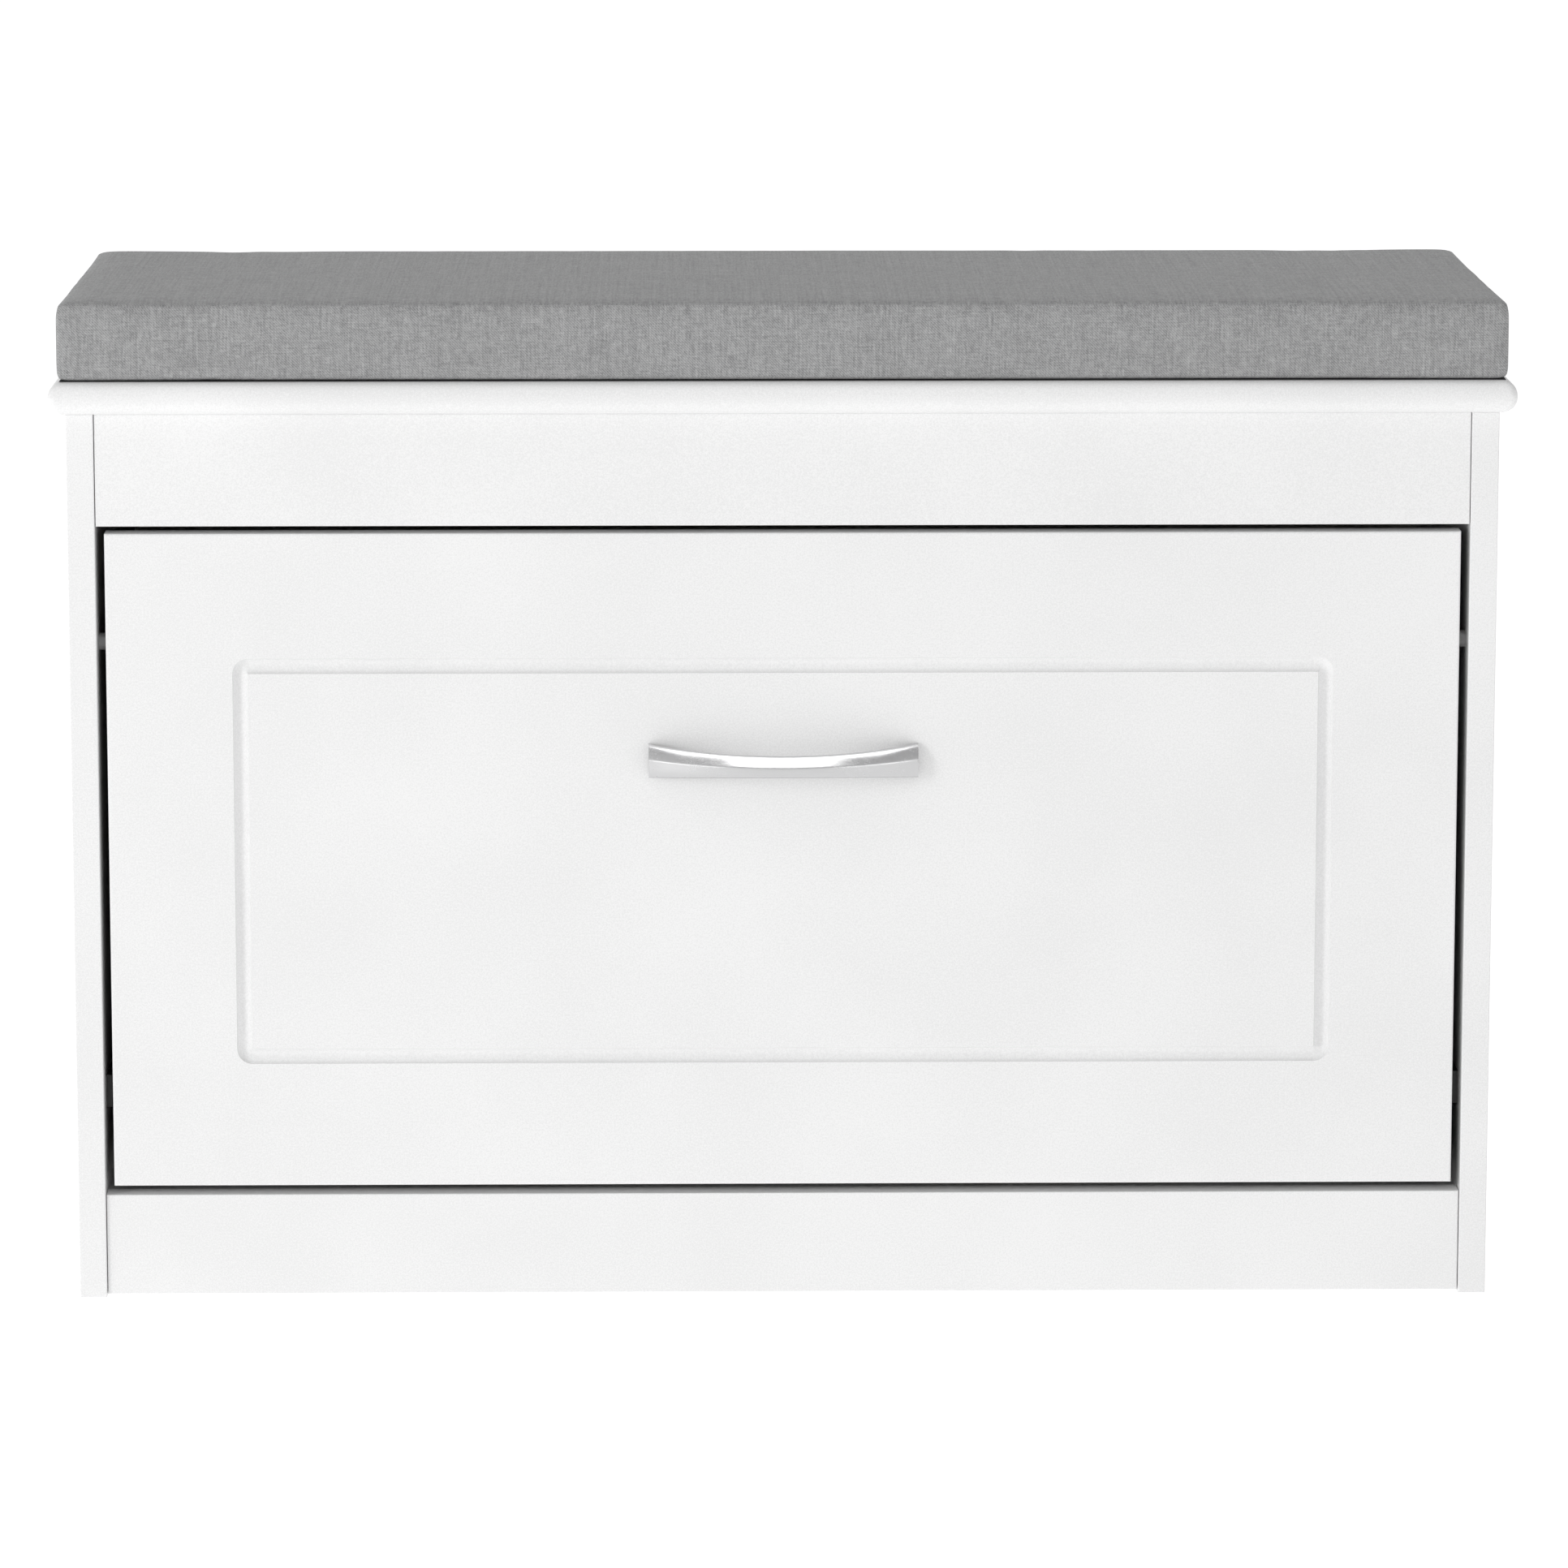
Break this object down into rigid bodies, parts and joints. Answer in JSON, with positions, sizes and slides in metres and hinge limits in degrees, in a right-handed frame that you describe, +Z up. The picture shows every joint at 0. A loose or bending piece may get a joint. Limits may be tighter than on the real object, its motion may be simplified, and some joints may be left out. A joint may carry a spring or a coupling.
{
  "type": "entryway bench",
  "caption": "Entryway shoe bench: white board carcass, padded seat and a wide tilt-out shoe drawer with a bow handle.",
  "frame": {"origin": "on the floor under the middle of the bench's whole box, the handle's projection included", "axes": "+X to the right along the bench, +Y to its back, +Z up"},
  "size_m": [0.8, 0.3177, 0.558],
  "materials": {
    "white_laminate": "satin",
    "white_hardboard": "matte",
    "linen_cover": "matte",
    "seat_foam": "matte",
    "non_slip_cloth": "matte",
    "satin_nickel": "satin",
    "zinc_steel": "satin",
    "cast_zinc": "matte",
    "bracket_plastic": "satin",
    "nylon": "satin",
    "grey_sleeve": "satin",
    "beech": "matte"
  },
  "bodies": {
    "carcass": {"left_side_panel": "white_laminate", "right_side_panel": "white_laminate", "top_panel": "white_laminate", "floor_panel": "white_laminate", "plinth_board": "white_laminate", "fascia_rail": "white_laminate", "rear_top_rail": "white_laminate", "back_panel": "white_hardboard", "back_panel_nails": "zinc_steel", "floor_glides": "nylon", "cam_locks": "cast_zinc", "cam_bolts": "zinc_steel", "wooden_dowels": "beech", "left_pivot_base": "nylon", "right_pivot_base": "nylon", "pivot_base_screws": "zinc_steel", "left_limit_pin": "zinc_steel", "right_limit_pin": "zinc_steel", "left_limit_sleeve": "grey_sleeve", "right_limit_sleeve": "grey_sleeve", "cushion_cover": "linen_cover", "cushion_foam": "seat_foam", "cushion_base_cloth": "non_slip_cloth"},
    "tilt_drawer": {"door_panel": "white_laminate", "handle": "satin_nickel", "handle_screws": "zinc_steel", "left_tilt_bracket": "bracket_plastic", "right_tilt_bracket": "bracket_plastic", "left_pivot_bush": "nylon", "right_pivot_bush": "nylon", "lower_shelf": "white_laminate", "upper_shelf": "white_laminate", "lower_back_stop": "white_laminate", "upper_back_stop": "white_laminate", "shelf_screws": "zinc_steel", "bracket_screws": "zinc_steel"}
  },
  "joints": [
    {"name": "drawer_tilt", "type": "hinge", "parent": "carcass", "child": "tilt_drawer", "pos_m": [0, -0.109, 0.1155], "axis": [1, 0, 0], "range_deg": [0, 45]}
  ]
}
